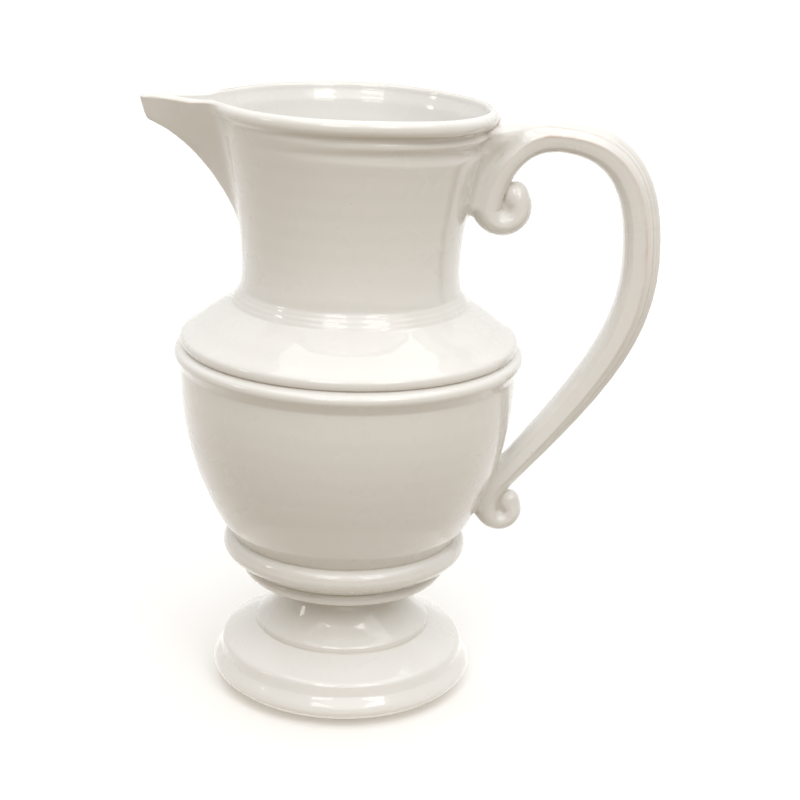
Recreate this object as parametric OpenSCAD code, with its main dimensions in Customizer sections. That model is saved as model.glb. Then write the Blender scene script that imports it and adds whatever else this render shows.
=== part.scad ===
// Footed ceramic pitcher with a beak spout and a scrolled strap handle.
// Units are millimetres, +Z is up. The origin is the centre of the resting plane of the foot.
// The spout points to -X and the handle to +X, so Y = 0 is the mirror plane.
// The clay sections meet at rebated rings, mitred spout edges and pegged handle ends.

/* [Foot] */
// Radius of the foot where it is widest
foot_r = 66.8; // [64:0.2:69]
// Radius of the resting edge
rest_r = 54.2; // [52:0.2:56]
// Radius of the low disc that the stem flares out to, on top of the foot
step_r = 44.6; // [43.6:0.1:45.6]
// Narrowest radius of the stem
stem_r = 29.5; // [28.5:0.1:30.5]
// Height of the foot and stem up to the bowl
foot_h = 55; // [54:0.5:57]

/* [Bowl] */
// Radius of the upright part of the bowl wall
bowl_r = 83.2; // [81:0.2:85]
// Height of the bowl from the stem to the groove under the shoulder
bowl_h = 125; // [123:0.5:127]
// Radius of the heavy ring at the bottom of the bowl
ring_r = 62; // [61:0.2:63]
// Radius of the bead round the girth
girth_r = 86.3; // [85.5:0.1:87.5]

/* [Shoulder and neck] */
// Height from the groove under the shoulder to the foot of the neck
shoulder_h = 29; // [28:0.5:30]
// Narrowest radius of the neck
neck_r = 53.2; // [52.5:0.1:54]
// Outer radius of the lip
lip_r = 68.5; // [67.5:0.1:69.5]
// Height from the foot of the neck to the top of the lip
neck_h = 90.5; // [89:0.5:93]
// Thickness of the wall
wall = 5; // [4.5:0.1:5.5]

/* [Spout] */
// Distance from the axis to the tip of the spout
spout_reach = 102; // [100:0.5:105]
// Half width of the spout where it leaves the lip
spout_half = 22; // [21:0.5:23.5]
// Half width of the blunt tip
tip_half = 3; // [2.8:0.1:3.4]

/* [Handle] */
// Distance from the axis to the middle of the strap at its widest
handle_reach = 141.8; // [140:0.1:145]
// Width of the strap at the top
strap_w = 21; // [19:0.5:23]
// Thickness of the strap half way down
strap_t = 18.2; // [17:0.1:19]

/* [Hidden] */
$fn = 72;
z_waist = foot_h;
z_girth = z_waist + bowl_h;
z_neck = z_girth + shoulder_h;
z_lip = z_neck + neck_h;
rebate = 3;
fit = 0.15;
eps = 0.01;

// Which piece to draw

// Points on an arc about [x, z], counted from angle a0 to a1
function arc(x, z, r, a0, a1, n) =
    [for (i = [0:n]) let (a = a0 + (a1 - a0) * i / n) [x + r * cos(a), z + r * sin(a)]];

function reversed(pts) = [for (i = [len(pts) - 1:-1:0]) pts[i]];
function mix(a, b, t) = a + (b - a) * t;

// ---- Outer outline, one list for each turned section ----

foot_outline = concat(
    [[rest_r, 0], [rest_r + 2.8, 1.5], [rest_r + 7.2, 3.4]],
    arc(foot_r - 3.8, 9.4, 3.8, -45, 40, 6),
    [[foot_r - 3.9, 16.4]],
    arc(foot_r - 8.4, 19, 4.2, 12, 66, 4),
    [[mix(step_r, foot_r, 0.38), 26.6]],
    [[step_r - 0.1, 30.5]],
    arc(step_r - 1.7, 32.1, 1.7, -20, 62, 4),
    // the stem flares out in a hollow curve
    [[stem_r + 10.9, 36.6], [stem_r + 7.7, 40], [stem_r + 4.5, 44], [stem_r + 1.9, 48]],
    [[stem_r + 0.5, z_waist - 3.6], [stem_r + 0.6, z_waist - 1.6], [stem_r + 2, z_waist]]
);

// The bowl wall rises from the heavy ring by a power curve to the full radius
bowl_low = z_waist + 31;
bowl_full = z_girth - 15;
bowl_top = z_girth - 9;
function bowl_wall_r(z) =
    bowl_r - (bowl_r - ring_r + 0.6) * pow(max(0, (bowl_full - z) / (bowl_full - bowl_low)), 2.12);

bowl_outline = concat(
    [[stem_r + 2, z_waist]],
    arc(48.8, z_waist + 7.2, 3.1, -115, 70, 8),
    [[51, z_waist + 11], [53.6, z_waist + 11.6]],
    arc(ring_r - 6, z_waist + 20.6, 6, -48, 78, 9),
    [[57.9, bowl_low - 4], [60.7, bowl_low]],
    [for (i = [0:12]) let (z = mix(bowl_low + 4, bowl_top, i / 12)) [bowl_wall_r(z), z]],
    arc(girth_r - 3.3, z_girth - 4.4, 3.3, -52, 75, 7),
    [[girth_r - 5, z_girth]]
);

shoulder_outline = concat(
    [[girth_r - 5, z_girth]],
    arc(girth_r - 6.4, z_girth + 2.6, 3.6, -38, 55, 6),
    [[77.2, z_girth + 8.8], [71.8, z_girth + 13], [65.6, z_girth + 17.1], [59.8, z_girth + 20.7]],
    // three fine steps up to the neck
    [for (i = [0:2]) each [
        [58.5 - 1.4 * i, z_neck - 7.4 + 2.2 * i],
        [57.9 - 1.4 * i, z_neck - 6 + 2.2 * i],
        [57.5 - 1.4 * i, z_neck - 5.7 + 2.2 * i]]],
    [[54.2, z_neck]]
);

// The neck flares like a trumpet: upright at first, then almost a straight cone up to the
// rounded bead of the lip
lip_bead = 2.5;
function neck_wall_r(z) = let (s = (z - z_neck) / neck_h)
    neck_r + (lip_r - neck_r) * (s < 0.15 ? 0 : pow((s - 0.15) / 0.85, 1.6));

neck_outline = concat(
    [[54.2, z_neck]],
    [for (i = [1:12]) let (z = mix(z_neck, z_lip - 4, i / 12)) [neck_wall_r(z), z]],
    arc(lip_r - lip_bead, z_lip - lip_bead, lip_bead, -10, 90, 6)
);

body_outline = concat(foot_outline, bowl_outline, shoulder_outline, neck_outline);

// ---- Inner outline of the vessel, from the middle of the floor to the lip ----

z_floor = z_waist + 12;
bowl_inside = concat(
    [[0, z_floor], [18, z_floor + 0.6], [34, z_floor + 4.2], [46, z_floor + 11.5]],
    [for (i = [0:10]) let (z = mix(bowl_low + 6, z_girth - 6, i / 10)) [bowl_wall_r(z) - wall - 1.2, z]],
    [[girth_r - 10, z_girth]]
);
shoulder_inside = [
    [girth_r - 10, z_girth], [74, z_girth + 3], [68, z_girth + 8], [60.4, z_girth + 13.6],
    [53.6, z_girth + 17.4], [50, z_girth + 21.4], [48.6, z_neck]
];
neck_inside = concat(
    [[48.6, z_neck]],
    [for (i = [1:11]) let (z = mix(z_neck, z_lip - 4, i / 12)) [neck_wall_r(z) - wall, z]],
    [[lip_r - wall - 0.4, z_lip - 3]],
    arc(lip_r - wall + 1.9, z_lip - 2, 2, 170, 90, 4)
);

// Closed solid of everything inside the outer skin, used to seat the handle and the spout
module vessel_solid() {
    rotate_extrude() polygon(concat([[0, 0]], body_outline, [[0, z_lip]]));
}

// ---- Turned sections ----

// Pedestal: hollow underneath, with a raised ring on top that keys into the bowl
module foot() {
    hollow = [
        [rest_r - 6.4, 0], [rest_r - 7.2, 1.6], [rest_r - 5.6, 5], [46.8, 12], [38, 20.4],
        [29.5, 26], [25, 32], [22.4, 40], [21.4, z_waist]
    ];
    color("ivory") rotate_extrude() polygon(concat(
        foot_outline,
        [[stem_r - 1, z_waist], [stem_r - 1.4, z_waist + rebate]],
        [[stem_r - 5.4, z_waist + rebate], [stem_r - 5.8, z_waist]],
        reversed(hollow)
    ));
}

// Bowl with the thin bead, the heavy ring and the girth bead turned on it
module bowl() {
    color("ivory") rotate_extrude() polygon(concat(
        [[0, z_waist], [stem_r - 5.8, z_waist]],
        [[stem_r - 5.4, z_waist + rebate], [stem_r - 1.4, z_waist + rebate], [stem_r - 1, z_waist]],
        bowl_outline,
        // rebate that takes the lip under the shoulder
        [[girth_r - 7.4, z_girth], [girth_r - 7.6, z_girth - rebate], [girth_r - 10.4, z_girth - rebate]],
        reversed(bowl_inside)
    ));
}

// Shoulder: rounded edge, smooth slope and three fine steps
module shoulder() {
    color("ivory") rotate_extrude() polygon(concat(
        [[girth_r - 7.4, z_girth]],
        shoulder_outline,
        [[51.8, z_neck], [51.6, z_neck - rebate], [49, z_neck - rebate]],
        reversed([for (q = shoulder_inside) if (q[1] < z_neck - rebate - eps) q]),
        [[girth_r - 10.4, z_girth - rebate + eps], [girth_r - 10.4, z_girth - rebate]],
        [[girth_r - 7.6, z_girth - rebate]]
    ));
}

// A ring cut whose middle is moved towards the spout, so it is deep on the handle side and
// fades out before it reaches the spout. r is the radius of the ring's middle line
module fading_groove(r, z, size, shift) {
    translate([-shift, 0, z]) rotate_extrude() translate([r, 0]) circle(size);
}

module neck() {
    color("ivory") difference() {
        rotate_extrude() polygon(concat(
            [[51.8, z_neck]],
            neck_outline,
            reversed(neck_inside),
            [[48.8, z_neck - rebate], [51.6, z_neck - rebate]]
        ));
        // a narrow groove under the lip bead, then a wide shallow cove that leaves a soft ring
        fading_groove(lip_r - 1.75, z_lip - 9.4, 2.2, 1.6);
        fading_groove(lip_r - 1.5, z_lip - 17.4, 4.4, 1.6);
        spout_channel(inward = 22);
    }
}

// ---- Spout ----

// Keel of the spout in the mirror plane, from the tip (t = 0) down to the neck (t = 1)
keel = [[-spout_reach + 3.4, z_lip - 12.4], [-71.4, z_lip - 23.4], [-53.6, z_lip - 62.5]];
function keel_pt(t) =
    keel[0] * pow(1 - t, 2) + keel[1] * 2 * t * (1 - t) + keel[2] * pow(t, 2);

// Half width of the spout at its rim, at distance x from the axis
function rim_half(x) = let (s = max(0, (x + spout_reach) / (spout_reach - 64)))
    tip_half + (spout_half - tip_half) * pow(s, 1.6);

// Half width at part s of the depth: a V whose bottom is rounded
function vee(s) = s + 0.16 * sqrt(s) * (1 - s);

side_steps = 9;

// Cross-section of the spout: from one rim corner round the keel to the other
function spout_section(x, bottom, top, half) = concat(
    [for (i = [side_steps:-1:1]) let (s = pow(i / side_steps, 1.6))
        [x, half * vee(s), mix(bottom, top, s)]],
    [[x, 0, bottom]],
    [for (i = [1:side_steps]) let (s = pow(i / side_steps, 1.6))
        [x, -half * vee(s), mix(bottom, top, s)]]
);

// Closed body through a list of rings with the same number of points
module skin(rings) {
    n = len(rings[0]);
    m = len(rings);
    points = [for (ring = rings) each ring];
    sides = [for (j = [0:m - 2]) for (i = [0:n - 1]) let (k = (i + 1) % n) each [
        [j * n + i, j * n + k, (j + 1) * n + k],
        [j * n + i, (j + 1) * n + k, (j + 1) * n + i]]];
    caps = [[for (i = [n - 1:-1:0]) i], [for (i = [0:n - 1]) (m - 1) * n + i]];
    polyhedron(points, concat(sides, caps), convexity = 6);
}

module spout_shell() {
    nose = [
        for (a = [80, 55, 30, 10]) let (x = -spout_reach + 3.6 - 3.6 * sin(a), d = 6.6 * sin(a))
            spout_section(x, z_lip - 12 + d, z_lip - 1 - 0.5 * sin(a), tip_half - 1.3 * sin(a))
    ];
    body = [
        for (i = [1:16]) let (q = keel_pt(i / 16))
            spout_section(q[0], q[1], z_lip - mix(1, 1.5, i / 16), rim_half(q[0]))
    ];
    skin(concat(nose, body));
}

module spout_channel(inward) {
    steps = 12;
    rings = [
        for (i = [0:steps]) let (q = keel_pt(0.06 + 0.84 * i / steps), h = rim_half(q[0]) - 3.4)
            spout_section(q[0] + 1.2, min(q[1] + 5.4, z_lip - 6), z_lip + 2, max(1.6, h + 1))
    ];
    end = rings[steps];
    skin(concat(rings, [[for (q = end) q + [inward, 0, 0]]]));
}

module spout() {
    color("ivory") difference() {
        spout_shell();
        spout_channel(inward = 22);
        vessel_solid();
    }
}

// ---- Handle ----

// Middle line of the strap: one curve over the top, one down to the bowl
strap_top = [
    [62, z_lip - 17.6], [92, z_lip - 12.7], [handle_reach - 3, z_lip - 2.6], [handle_reach, z_lip - 66.5]
];
strap_low = [
    [handle_reach, z_lip - 66.5], [handle_reach + 2.7, z_lip - 107],
    [handle_reach - 14.5, z_waist + 112], [84.2, z_waist + 61.2]
];
upper_leg = [[89.5, z_lip - 14.6], [76.5, z_lip - 17.5], [67.4, z_lip - 30], [65.2, z_lip - 49.6]];
lower_leg = [[84.2, z_waist + 61.2], [79.6, z_waist + 55], [72.5, z_waist + 48], [72.5, z_waist + 38.2]];

function bezier(b, t) = b[0] * pow(1 - t, 3) + b[1] * 3 * t * pow(1 - t, 2)
    + b[2] * 3 * t * t * (1 - t) + b[3] * pow(t, 3);
function bezier_dir(b, t) = let (d = (b[1] - b[0]) * pow(1 - t, 2)
    + (b[2] - b[1]) * 2 * t * (1 - t) + (b[3] - b[2]) * t * t) d / norm(d);

// Half outline of the strap, as [part of half width, part of thickness], from the inner
// face round the side and the shoulder bead, through the cove to the raised middle rib
moulded = [
    [0, -0.5], [0.42, -0.49], [0.74, -0.43], [0.93, -0.3], [1, -0.12], [1, 0.03], [0.94, 0.13],
    [0.82, 0.17], [0.68, 0.15], [0.55, 0.2], [0.45, 0.33], [0.34, 0.44], [0.18, 0.49], [0, 0.5]
];
last = len(moulded) - 1;

// The same outline with the moulding melted into a plain oval by 1 - m
function strap_outline(m) = [for (i = [0:last]) let (a = -90 + 180 * i / last)
    [mix(cos(a), moulded[i][0], m), mix(sin(a) / 2, moulded[i][1], m)]];

// Ring of the strap about point q, along direction d, of thickness t, width w, moulding m
function strap_ring(q, d, t, w, m) = let (o = strap_outline(m), n = [-d[1], d[0]])
    concat(
        [for (i = [0:last]) [q[0] + n[0] * t * o[i][1], -w / 2 * o[i][0], q[1] + n[1] * t * o[i][1]]],
        [for (i = [last - 1:-1:1]) [q[0] + n[0] * t * o[i][1], w / 2 * o[i][0], q[1] + n[1] * t * o[i][1]]]
    );

// Thickness of the strap along both curves: thick root, slimmer arch, full side, slim end
function strap_thick(u) = u < 0.36 ? mix(19.5, 15.4, pow(u / 0.36, 1.6))
    : u < 1 ? mix(15.4, strap_t, sin(90 * (u - 0.36) / 0.64))
    : mix(strap_t, 14.2, pow(u - 1, 2.8));
function strap_ring_at(u) = strap_ring(
    u < 1 ? bezier(strap_top, u) : bezier(strap_low, u - 1),
    u < 1 ? bezier_dir(strap_top, u) : bezier_dir(strap_low, u - 1),
    strap_thick(u), mix(strap_w, strap_w - 3.5, u / 2), u > 1.8 ? mix(1, 0.75, (u - 1.8) / 0.2) : 1);

joint_high = 0.24;
joint_low = 1.95;

module strap_span(u0, u1, steps) {
    skin([for (i = [0:steps]) strap_ring_at(mix(u0, u1, i / steps))]);
}

// Peg along the strap at a joint; the socket that takes it is a little wider and deeper
module joint_peg(u, back, gap) {
    q = u < 1 ? bezier(strap_top, u) : bezier(strap_low, u - 1);
    d = u < 1 ? bezier_dir(strap_top, u) : bezier_dir(strap_low, u - 1);
    translate([q[0], 0, q[1]])
        rotate([0, 90 - atan2(d[1], d[0]), 0])
            translate([0, 0, -(back ? 6 : 0) - gap])
                cylinder(h = 6 + 2 * gap, r = 3 + gap);
}

module handle_strap() {
    color("ivory") union() {
        strap_span(joint_high, joint_low, 52);
        joint_peg(joint_high + eps / 10, true, 0);
        joint_peg(joint_low - eps / 10, false, 0);
    }
}

// Curl: a leg, then a spiral about a middle point, closed by a rounded end
// turn: [x, z, start radius, end radius, end angle]; thick and wide: [start, end]
leg_steps = 10;
turn_steps = 20;
end_rings = [28, 50, 68, 82];
function settle(f) = 1 - pow(1 - f, 3);
function curl_pt(turn, a, r) = [turn[0] + r * cos(a), turn[1] + r * sin(a)];

function curl_rings(leg, start, turn, thick, wide) = concat(
    [for (i = [0:leg_steps - 1]) let (f = i / leg_steps)
        strap_ring(bezier(leg, f), bezier_dir(leg, f), mix(start[0], thick[0], pow(f, 0.7)),
            mix(start[1], wide[0], f), start[2] * (1 - 0.5 * f))],
    [for (i = [0:turn_steps])
        let (f = i / turn_steps, a = mix(180, turn[4], f), r = mix(turn[2], turn[3], settle(f)))
        strap_ring(curl_pt(turn, a, r), [-sin(a), cos(a)], mix(thick[0], thick[1], settle(f)),
            mix(wide[0], wide[1], f), start[2] * 0.5 * (1 - f))],
    [for (e = end_rings) let (a = turn[4], d = [-sin(a), cos(a)])
        strap_ring(curl_pt(turn, a, turn[3]) + d * thick[1] * 0.5 * sin(e), d,
            thick[1] * cos(e), wide[1] * cos(e), 0)]
);

// The eye of a curl is a dimple: a recessed web closes the middle of the spiral
module curl_eye(turn, depth, r) {
    translate([turn[0], depth, turn[1]]) rotate([90, 0, 0]) cylinder(h = 2 * depth, r = r);
}

// Ball that finishes the free end of a curl
module curl_ball(x, z, r) {
    translate([x, 0, z]) sphere(r);
}

upper_turn = [73.9, z_lip - 49.6, 8.7, 7.1, 395];
lower_turn = [80.3, z_waist + 38.2, 7.8, 5.3, 380];

module upper_scroll() {
    color("ivory") difference() {
        union() {
            strap_span(0, joint_high, 5);
            skin(curl_rings(upper_leg, [18.6, 20, 0.9], upper_turn, [15, 12.2], [19, 15]));
            curl_eye(upper_turn, 5, 4);
            curl_ball(78.2, z_lip - 43.2, 6.6);
        }
        vessel_solid();
        joint_peg(joint_high, true, fit);
    }
}

module lower_scroll() {
    color("ivory") difference() {
        union() {
            strap_span(joint_low, 2, 3);
            skin(curl_rings(lower_leg, [14, 17.4, 0.75], lower_turn, [12.6, 9.8], [17, 12]));
            curl_eye(lower_turn, 3.5, 3.4);
            curl_ball(83.8, z_waist + 42.6, 5.7);
        }
        vessel_solid();
        joint_peg(joint_low, false, fit);
    }
}

foot();
bowl();
shoulder();
neck();
spout();
handle_strap();
upper_scroll();
lower_scroll();
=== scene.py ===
"""Finished look of the footed ceramic pitcher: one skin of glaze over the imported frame.

Lengths are millimetres until a mesh is made, where MM turns them into metres. The spout
points to -X and the handle to +X, as in the frame.
"""

import math

import bmesh
import bpy
import numpy as np
from mathutils import Matrix, Vector


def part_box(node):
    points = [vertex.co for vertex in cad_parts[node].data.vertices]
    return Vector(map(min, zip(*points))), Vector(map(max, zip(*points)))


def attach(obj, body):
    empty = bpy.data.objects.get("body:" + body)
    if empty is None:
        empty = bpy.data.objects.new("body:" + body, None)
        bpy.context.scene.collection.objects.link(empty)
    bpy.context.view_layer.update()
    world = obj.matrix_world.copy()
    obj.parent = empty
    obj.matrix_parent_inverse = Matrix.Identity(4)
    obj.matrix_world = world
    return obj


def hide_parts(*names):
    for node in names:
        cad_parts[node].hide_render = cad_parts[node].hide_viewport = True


MM = 0.001
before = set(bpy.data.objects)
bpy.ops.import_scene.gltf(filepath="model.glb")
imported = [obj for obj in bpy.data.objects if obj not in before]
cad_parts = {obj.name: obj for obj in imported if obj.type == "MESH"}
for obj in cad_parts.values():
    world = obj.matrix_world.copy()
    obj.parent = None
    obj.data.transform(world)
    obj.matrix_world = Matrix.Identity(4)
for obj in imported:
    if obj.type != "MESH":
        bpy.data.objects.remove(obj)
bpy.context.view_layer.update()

# ---------------------------------------------------------------- sizes, from the frame

REBATE = 3.0


def edges_of(node):
    low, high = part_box(node)
    return np.array(low) / MM, np.array(high) / MM


foot_r = edges_of("foot")[1][0]
girth_r = edges_of("bowl")[1][0]
lip_r = edges_of("neck")[1][0]
z_waist = edges_of("bowl")[0][2]
z_girth = edges_of("shoulder")[0][2] + REBATE
z_neck = edges_of("neck")[0][2] + REBATE
z_lip = edges_of("neck")[1][2]
spout_reach = -edges_of("spout")[0][0]
strap_out = edges_of("handle_strap")[1][0]

rest_r = foot_r - 12.6
step_r = foot_r - 22.2
stem_r = foot_r - 37.3
bowl_r = girth_r - 3.1
ring_r = girth_r - 24.3
neck_r = lip_r - 15.3
wall = 5.0
spout_half = 22.0
tip_half = 3.0
handle_reach = strap_out - 9.4
# Length of the blunt tip that ends the spout
NOSE = 3.4

# ---------------------------------------------------------------- small helpers


def mix(a, b, t):
    return a + (b - a) * t


def smooth_step(x, low, high):
    t = np.clip((x - low) / (high - low), 0, 1)
    return t * t * (3 - 2 * t)


def smooth_min(a, b, k):
    h = np.maximum(k - np.abs(a - b), 0) / k
    return np.minimum(a, b) - h * h * k / 4


def smooth_max(a, b, k):
    return -smooth_min(-a, -b, k)


def arc(x, z, r, a0, a1, n=16):
    a = np.radians(np.linspace(a0, a1, n + 1))
    return [[x + r * math.cos(t), z + r * math.sin(t)] for t in a]


def resample(points, step):
    points = np.array(points, float)
    along = np.r_[0, np.cumsum(np.hypot(*np.diff(points, axis=0).T))]
    at = np.linspace(0, along[-1], int(along[-1] / step) + 1)
    return np.c_[np.interp(at, along, points[:, 0]), np.interp(at, along, points[:, 1])]


def soften(points, sigma, step):
    """Rounds every corner of an open outline, as a coat of glaze does; its ends stay where they are."""
    reach = int(4 * sigma / step)
    kernel = np.exp(-0.5 * (np.arange(-reach, reach + 1) * step / sigma) ** 2)
    kernel /= kernel.sum()
    before = 2 * points[0] - points[reach:0:-1]
    after = 2 * points[-1] - points[-2 : -reach - 2 : -1]
    padded = np.r_[before, points, after]
    return np.c_[
        np.convolve(padded[:, 0], kernel, "valid"),
        np.convolve(padded[:, 1], kernel, "valid"),
    ]


# ---------------------------------------------------------------- section of the vessel

z_floor = z_waist + 12
bowl_low = z_waist + 31
bowl_full = z_girth - 15
neck_h = z_lip - z_neck
LIP_BEAD = 3.9
STEM_HOLLOW = 21.4


# How full the bowl is, and how the neck flares above its straight part
BOWL_FULLNESS = 2.12
NECK_STRAIGHT = 0.15
NECK_FLARE = 1.6


def bowl_wall_r(z):
    """Outside radius of the bowl's wall, which is widest from bowl_full upwards."""
    down = max(0, (bowl_full - z) / (bowl_full - bowl_low))
    return bowl_r - (bowl_r - ring_r + 0.6) * down**BOWL_FULLNESS


def neck_wall_r(z):
    """Outside radius of the trumpet neck's wall."""
    up = max(0, ((z - z_neck) / neck_h - NECK_STRAIGHT) / (1 - NECK_STRAIGHT))
    return neck_r + (lip_r - neck_r) * up**NECK_FLARE


def underside():
    """Hollow of the foot and the stem, from the axis down to the resting ring."""
    return [
        [0, z_waist], [STEM_HOLLOW, z_waist], [22.4, 40], [25, 32], [29.5, 26], [38, 20.4],
        [46.8, 12], [rest_r - 5.6, 5], [rest_r - 7.2, 1.6], [rest_r - 6.4, 0],
    ]


def foot_outline():
    """Resting ring, rolled edge, slope, low disc and the hollow curve of the stem."""
    return (
        [[rest_r, 0], [rest_r + 2.8, 1.5], [rest_r + 7.2, 3.4]]
        + arc(foot_r - 3.8, 9.4, 3.8, -45, 40)
        + [[foot_r - 3.9, 16.4]]
        + arc(foot_r - 8.4, 19, 4.2, 12, 66)
        + [[mix(step_r, foot_r, 0.38), 26.6], [step_r - 0.1, 30.5]]
        + arc(step_r - 1.7, 32.1, 1.7, -20, 62)
        + [[stem_r + 10.9, 36.6], [stem_r + 7.7, 40], [stem_r + 4.5, 44], [stem_r + 1.9, 48]]
        + [[stem_r + 0.5, z_waist - 3.6], [stem_r + 0.6, z_waist - 1.6], [stem_r + 2, z_waist]]
    )


def bowl_outline():
    """Thin bead, heavy ring, full wall and girth bead."""
    return (
        arc(48.8, z_waist + 7.2, 3.1, -115, 70)
        + [[51, z_waist + 11], [53.6, z_waist + 11.6]]
        + arc(ring_r - 6, z_waist + 20.6, 6, -48, 78)
        + [[57.9, bowl_low - 4], [60.7, bowl_low]]
        + [[bowl_wall_r(z), z] for z in np.linspace(bowl_low + 4, z_girth - 11, 40)]
        + arc(girth_r - 3.3, z_girth - 4.4, 3.3, -45, 75)
        + [[girth_r - 5, z_girth]]
    )


def shoulder_outline():
    """Rounded edge, slope and three fine steps below the neck."""
    steps = []
    for i in range(3):
        r, z = 58.5 - 1.4 * i, z_neck - 7.4 + 2.2 * i
        steps += [[r, z], [r - 0.6, z + 1.4], [r - 1, z + 1.7]]
    return (
        arc(girth_r - 6.4, z_girth + 2.6, 3.6, -38, 55)
        + [[77.2, z_girth + 8.8], [71.8, z_girth + 13], [65.6, z_girth + 17.1], [59.8, z_girth + 20.7]]
        + steps
        + [[54.2, z_neck]]
    )


def neck_outline():
    """Trumpet wall and the bead of the lip."""
    return [[neck_wall_r(z), z] for z in np.linspace(z_neck + 7, z_lip - 10, 40)] + arc(
        lip_r - LIP_BEAD, z_lip - LIP_BEAD, LIP_BEAD, -62, 90
    )


def inside():
    """Inner skin, from the lip down to the floor of the bowl."""
    lip_in = lip_r - wall
    return (
        arc(lip_in + 1.9, z_lip - 2, 2, 90, 170)
        + [[lip_in - 0.4, z_lip - 3]]
        + [[neck_wall_r(z) - wall, z] for z in np.linspace(z_lip - 8, z_neck + 8, 30)]
        + [[48.6, z_neck], [50, z_girth + 21.4], [53.6, z_girth + 17.4], [60.4, z_girth + 13.6]]
        + [[68, z_girth + 8], [74, z_girth + 3], [girth_r - 10, z_girth]]
        + [[bowl_wall_r(z) - wall - 1.2, z] for z in np.linspace(z_girth - 6, bowl_low + 6, 30)]
        + [[46, z_floor + 11.5], [34, z_floor + 4.2], [18, z_floor + 0.6], [0, z_floor]]
    )


FINE = 0.2
GLAZE_ROUND = 0.5
outer_points = foot_outline() + bowl_outline() + shoulder_outline() + neck_outline()
section = resample(underside() + outer_points + inside(), FINE)
section = soften(section, GLAZE_ROUND, FINE)
section[:, 1] = np.maximum(section[:, 1], 0)
section[0, 0] = section[-1, 0] = 0

apex = int(np.argmax(section[:, 1]))
rest = int(np.argmin(section[:apex, 1]))


def row_at(z, first, last):
    """Place on the section, between two others, that is nearest to height z."""
    return first + int(np.argmin(np.abs(section[first:last, 1] - z)))


under_waist = int(np.argmin(np.hypot(*(section[:rest] - [STEM_HOLLOW, z_waist]).T)))
z_spout = z_lip - 72
STOPS = {
    "axis_under": 0,
    "under_waist": under_waist,
    "out_waist": row_at(z_waist, rest, apex),
    "out_girth": row_at(z_girth, rest, apex),
    "out_neck": row_at(z_neck, rest, apex),
    "out_spout": row_at(z_spout, rest, apex),
    "apex": apex,
    "in_spout": row_at(z_spout, apex, len(section)),
    "in_neck": row_at(z_neck, apex, len(section)),
    "in_girth": row_at(z_girth, apex, len(section)),
    "axis_floor": len(section) - 1,
}
# The longest step in mm and the widest turn in degrees between two rows, for each stretch
ROW_STEPS = [4, 2.5, 2, 2, 2, 1.1, 1.1, 3, 3, 4]
ROW_TURN = 7.0


def choose_rows():
    """Rows of the vessel's grid: close together where the section curves, and one at each stop."""
    turn = np.diff(np.unwrap(np.arctan2(*np.diff(section, axis=0).T[::-1])))
    turn = np.degrees(np.abs(np.r_[0, turn, 0]))
    stops = list(STOPS.values())
    rows, marks = [0], {"axis_under": 0}
    for name, first, last, step in zip(list(STOPS)[1:], stops, stops[1:], ROW_STEPS):
        cost = np.r_[0, np.cumsum(FINE / step + turn[first + 1 : last + 1] / ROW_TURN)]
        count = max(2, int(math.ceil(cost[-1])))
        at = np.interp(np.linspace(0, cost[-1], count + 1)[1:], cost, np.arange(first, last + 1))
        rows += list(at)
        rows[-1] = last
        marks[name] = len(rows) - 1
    return np.array(rows, float), marks


row_places, MARK = choose_rows()
place = np.arange(len(section))
base_r = np.interp(row_places, place, section[:, 0])
base_z = np.interp(row_places, place, section[:, 1])
row_s = row_places * FINE

# Columns: angle from the spout, finer across the spout
half = np.r_[
    np.arange(0, 6, 0.25), np.arange(6, 20, 0.5), np.arange(20, 34, 0.25), np.arange(34, 180, 1.25)
]
phi = np.radians(np.r_[-half[:0:-1], half, 180])
SPOUT_SIDE = np.radians(33.75)
spout_fade = 1 - smooth_step(np.abs(phi), np.radians(24), np.radians(33))

# ---------------------------------------------------------------- lip grooves and spout


def groove_r(z, about, r, size, shift):
    """Radius left by a ring cut whose middle is moved by shift towards the spout."""
    depth = np.sqrt(np.maximum(size**2 - (z - about) ** 2, 0))
    cut = r - depth[:, None] + shift * np.cos(phi)[None, :]
    return np.where((np.abs(z - about) < size)[:, None], cut, 1e3)


def keel_z():
    """Height of the spout's keel as a table against distance from the axis."""
    t = np.linspace(0, 1, 80)
    below_tip = -12.4
    pts = np.array([[spout_reach - NOSE, below_tip], [71.4, -23.4], [53.6, -62.5]])
    curve = [pts[0] * (1 - a) ** 2 + pts[1] * 2 * a * (1 - a) + pts[2] * a * a for a in t]
    back = np.linspace(1, 0, 12)[:-1]
    nose = [[spout_reach - NOSE + NOSE * a, below_tip + 10 * a**1.4] for a in back]
    table = soften(resample(np.array(nose + curve)[::-1], FINE), 1.0, FINE)
    return np.r_[table[:1] - [4, 40], table]


KEEL = keel_z()


def beak_half(x, z):
    """Half width of the spout at distance x from the axis and height z."""
    bottom = z_lip + np.interp(x, KEEL[:, 0], KEEL[:, 1])
    s = np.clip((z - bottom) / (z_lip - 1.2 - bottom), 0, 1)
    out = np.clip((x - spout_reach + NOSE) / NOSE, 0, 1)
    inward = np.maximum(0, (spout_reach - x) / (spout_reach - 64))
    rim = tip_half + (spout_half - tip_half) * inward**1.6
    shape = rim * np.sqrt(1 - 0.8 * out**2) * (s + 0.16 * np.sqrt(s) * (1 - s))
    return np.where((z >= bottom) & (x < spout_reach), shape, -1)


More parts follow.
